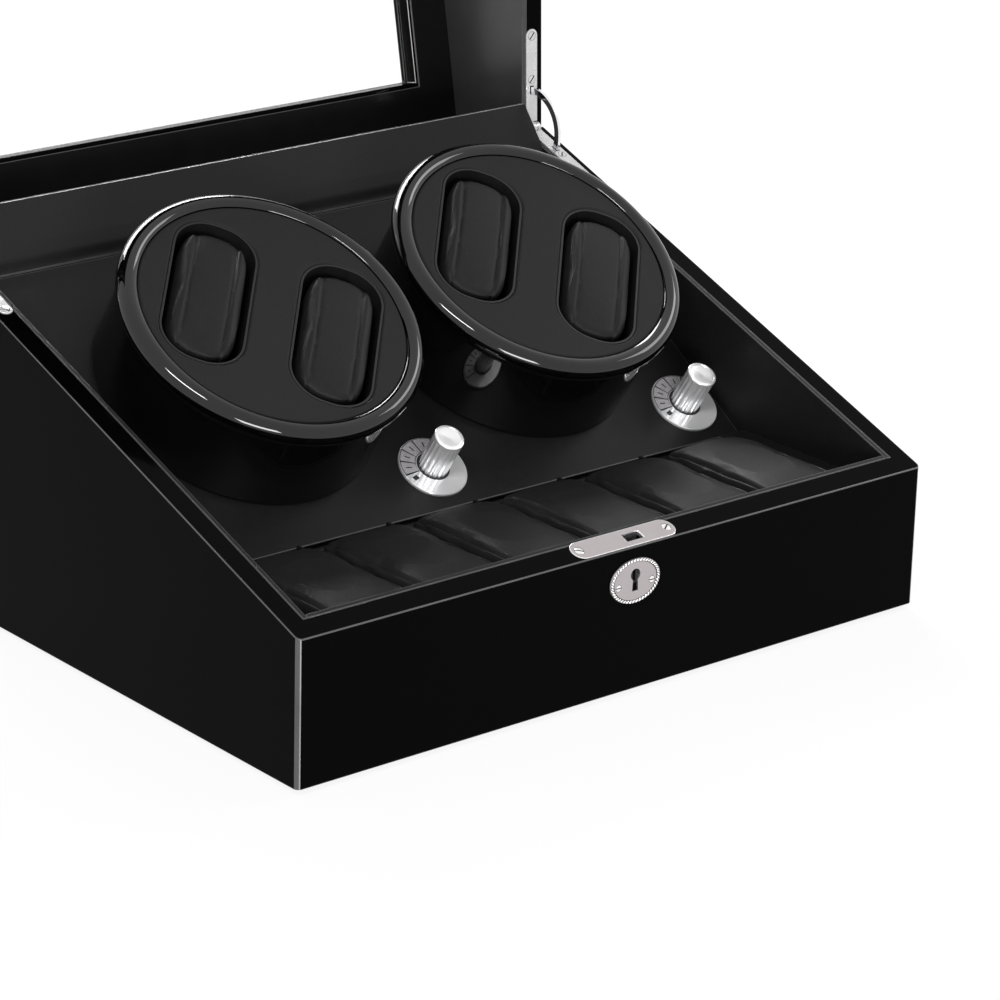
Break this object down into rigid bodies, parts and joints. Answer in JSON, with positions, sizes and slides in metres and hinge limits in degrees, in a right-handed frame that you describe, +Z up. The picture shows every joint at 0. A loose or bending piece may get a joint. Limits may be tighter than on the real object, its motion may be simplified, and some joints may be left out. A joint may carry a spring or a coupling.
{
  "type": "watch winder box",
  "caption": "Lacquered watch winder box with tilted turntables, padded watch tray, dial knobs and a glazed, hinged and locking lid.",
  "frame": {"origin": "middle of the case's footprint, on the plane that the feet stand on", "axes": "+X to the right as seen from the front, +Y from the front to the back, +Z up; the lid is open at rest"},
  "size_m": [0.38, 0.4165, 0.4898],
  "materials": {
    "lacquer": "high gloss black lacquer",
    "lining": "satin black lining",
    "pad_leather": "matte dark grey leatherette",
    "cushion_leather": "satin black leatherette",
    "base_board": "black stained board",
    "batten_wood": "bare wood",
    "chrome": "polished",
    "nickel": "polished nickel plate",
    "steel": "zinc plated",
    "brass": "plain",
    "black_plastic": "moulded",
    "circuit_board": "solder mask",
    "rubber": "pale rubber",
    "glass": "clear"
  },
  "bodies": {
    "case": {"case_shell": "lacquer", "base_panel": "base_board", "feet": "rubber", "foot_screws": "steel", "case_linings": "lining", "tray_floor": "lining", "tray_ledges": "lining", "tray_dividers": "lining", "riser": "lining", "deck": "lining", "support_battens": "batten_wood", "dial_plates": "chrome", "rotary_switches": "black_plastic", "switch_nuts": "steel", "gear_motors": "steel", "motor_brackets": "steel", "motor_screws": "steel", "shaft_bushes": "brass", "control_board": "circuit_board", "power_socket": "black_plastic", "lock_plate": "nickel", "lock_case": "steel", "escutcheon": "nickel", "lock_screws": "nickel", "case_hinge_leaves": "chrome", "hinge_pins": "chrome", "case_hinge_screws": "chrome", "hinge_strip": "pad_leather"},
    "lid": {"lid_shell": "lacquer", "lid_linings": "lining", "glass_pane": "glass", "glass_bead": "lacquer", "lid_strike": "nickel", "lid_hinge_leaves": "chrome", "lid_hinge_screws": "chrome"},
    "stays": {"lid_stays": "chrome"},
    "left_turntable": {"left_drum": "lacquer", "left_rim": "lacquer", "left_pad": "pad_leather", "left_pocket_liners": "black_plastic", "left_shaft": "steel"},
    "left_outer_cushion": {"left_cushion_outer": "cushion_leather"},
    "left_inner_cushion": {"left_cushion_inner": "cushion_leather"},
    "right_turntable": {"right_drum": "lacquer", "right_rim": "lacquer", "right_pad": "pad_leather", "right_pocket_liners": "black_plastic", "right_shaft": "steel"},
    "right_outer_cushion": {"right_cushion_outer": "cushion_leather"},
    "right_inner_cushion": {"right_cushion_inner": "cushion_leather"},
    "left_knob_body": {"left_knob": "chrome"},
    "right_knob_body": {"right_knob": "chrome"},
    "pillow_1_body": {"pillow_1": "cushion_leather"},
    "pillow_2_body": {"pillow_2": "cushion_leather"},
    "pillow_3_body": {"pillow_3": "cushion_leather"},
    "pillow_4_body": {"pillow_4": "cushion_leather"},
    "pillow_5_body": {"pillow_5": "cushion_leather"},
    "pillow_6_body": {"pillow_6": "cushion_leather"},
    "key": {"key_core": "brass"},
    "bolt": {"lock_bolt": "steel"}
  },
  "joints": [
    {"name": "lid_hinge", "type": "hinge", "parent": "case", "child": "lid", "pos_m": [0, 0.1457, 0.18049], "axis": [-1, 0, 0], "range_deg": [-112.5, 0], "deforming": ["hinge_strip"]},
    {"name": "stay_swing", "type": "hinge", "parent": "case", "child": "stays", "pos_m": [0, 0.1457, 0.18049], "axis": [-1, 0, 0], "range_deg": [-56.25, 0]},
    {"name": "left_turn", "type": "hinge", "parent": "case", "child": "left_turntable", "pos_m": [-0.0816, 0.04912, 0.11405], "axis": [0, -0.5493, 0.8356], "continuous": true},
    {"name": "left_outer_cushion_lift", "type": "slide", "parent": "left_turntable", "child": "left_outer_cushion", "axis": [0, -0.5493, 0.8356], "range_m": [0, 0.05]},
    {"name": "left_inner_cushion_lift", "type": "slide", "parent": "left_turntable", "child": "left_inner_cushion", "axis": [0, -0.5493, 0.8356], "range_m": [0, 0.05]},
    {"name": "right_turn", "type": "hinge", "parent": "case", "child": "right_turntable", "pos_m": [0.0816, 0.04912, 0.11405], "axis": [0, -0.5493, 0.8356], "continuous": true},
    {"name": "right_outer_cushion_lift", "type": "slide", "parent": "right_turntable", "child": "right_outer_cushion", "axis": [0, -0.5493, 0.8356], "range_m": [0, 0.05]},
    {"name": "right_inner_cushion_lift", "type": "slide", "parent": "right_turntable", "child": "right_inner_cushion", "axis": [0, -0.5493, 0.8356], "range_m": [0, 0.05]},
    {"name": "left_knob_turn", "type": "hinge", "parent": "case", "child": "left_knob_body", "pos_m": [-0.00705, -0.00973, 0.07536], "axis": [0, -0.5493, 0.8356], "range_deg": [0, 150]},
    {"name": "right_knob_turn", "type": "hinge", "parent": "case", "child": "right_knob_body", "pos_m": [0.15615, -0.00973, 0.07536], "axis": [0, -0.5493, 0.8356], "range_deg": [0, 150]},
    {"name": "pillow_1_lift", "type": "slide", "parent": "case", "child": "pillow_1_body", "axis": [0, 0, 1], "range_m": [0, 0.06]},
    {"name": "pillow_2_lift", "type": "slide", "parent": "case", "child": "pillow_2_body", "axis": [0, 0, 1], "range_m": [0, 0.06]},
    {"name": "pillow_3_lift", "type": "slide", "parent": "case", "child": "pillow_3_body", "axis": [0, 0, 1], "range_m": [0, 0.06]},
    {"name": "pillow_4_lift", "type": "slide", "parent": "case", "child": "pillow_4_body", "axis": [0, 0, 1], "range_m": [0, 0.06]},
    {"name": "pillow_5_lift", "type": "slide", "parent": "case", "child": "pillow_5_body", "axis": [0, 0, 1], "range_m": [0, 0.06]},
    {"name": "pillow_6_lift", "type": "slide", "parent": "case", "child": "pillow_6_body", "axis": [0, 0, 1], "range_m": [0, 0.06]},
    {"name": "key_turn", "type": "hinge", "parent": "case", "child": "key", "pos_m": [0.0042, -0.1455, 0.061], "axis": [0, 1, 0], "range_deg": [0, 90]},
    {"name": "bolt_slide", "type": "slide", "parent": "case", "child": "bolt", "axis": [1, 0, 0], "range_m": [0, 0.004]}
  ],
  "couplings": [
    {"joint": "stay_swing", "follows": "lid_hinge", "ratio": 0.5},
    {"joint": "bolt_slide", "follows": "key_turn", "m_per_rad": 0.0025464}
  ]
}
